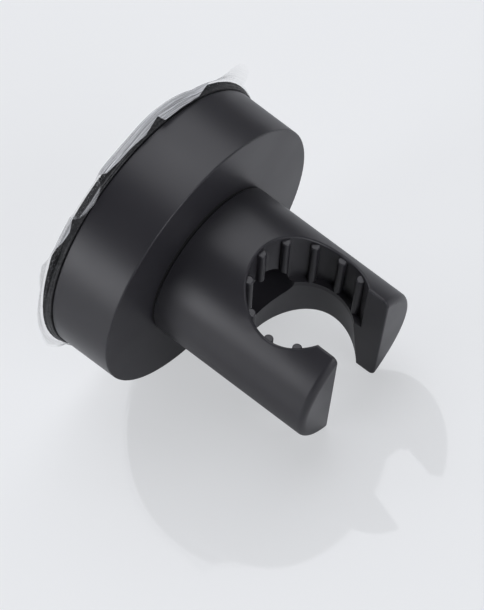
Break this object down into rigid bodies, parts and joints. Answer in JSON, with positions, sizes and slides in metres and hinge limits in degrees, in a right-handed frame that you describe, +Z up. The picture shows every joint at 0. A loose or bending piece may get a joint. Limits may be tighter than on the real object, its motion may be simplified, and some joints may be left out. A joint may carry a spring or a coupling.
{
  "type": "hand shower holder",
  "caption": "Drill-free hand shower holder: a round twist-lock suction base carries a swivelling round arm whose open, ribbed C-shaped socket takes a hose nut.",
  "frame": {"origin": "centre of the suction face, on the wall", "axes": "+Y into the wall, the arm runs along -Y into the room, +Z up along the socket's axis, +X to the right seen from the room"},
  "size_m": [0.071, 0.0573, 0.071],
  "materials": {
    "arm_plastic": "satin moulded black",
    "cup_plastic": "satin moulded black",
    "plate_plastic": "plain moulded black",
    "ring_plastic": "dull black",
    "slip_plastic": "natural acetal",
    "brass": "turned",
    "steel": "zinc plated",
    "dark_steel": "black zinc plated",
    "soft_pad": "soft black, fine grain on the edge",
    "clear_film": "clear crinkled film"
  },
  "bodies": {
    "wall_side": {"suction_pad": "soft_pad", "protective_film": "clear_film", "press_plate": "plate_plastic", "slip_washer": "slip_plastic"},
    "stud": {"pull_stud": "steel"},
    "cup": {"base_cup": "cup_plastic", "hub_nut": "brass", "friction_ring": "ring_plastic", "swivel_screw": "dark_steel"},
    "arm": {"arm": "arm_plastic", "flat_washer": "dark_steel", "spring_washer": "dark_steel"}
  },
  "joints": [
    {"name": "cup_twist", "type": "hinge", "parent": "wall_side", "child": "cup", "pos_m": [0, -0.0074, 0], "axis": [0, 1, 0], "range_deg": [0, 180]},
    {"name": "stud_draw", "type": "slide", "parent": "wall_side", "child": "stud", "axis": [0, -1, 0], "range_m": [0, 0.0015]},
    {"name": "arm_swivel", "type": "hinge", "parent": "cup", "child": "arm", "pos_m": [0, -0.0174, 0], "axis": [0, 1, 0], "continuous": true}
  ],
  "couplings": [
    {"joint": "stud_draw", "follows": "cup_twist", "m_per_rad": 0.00047746}
  ]
}
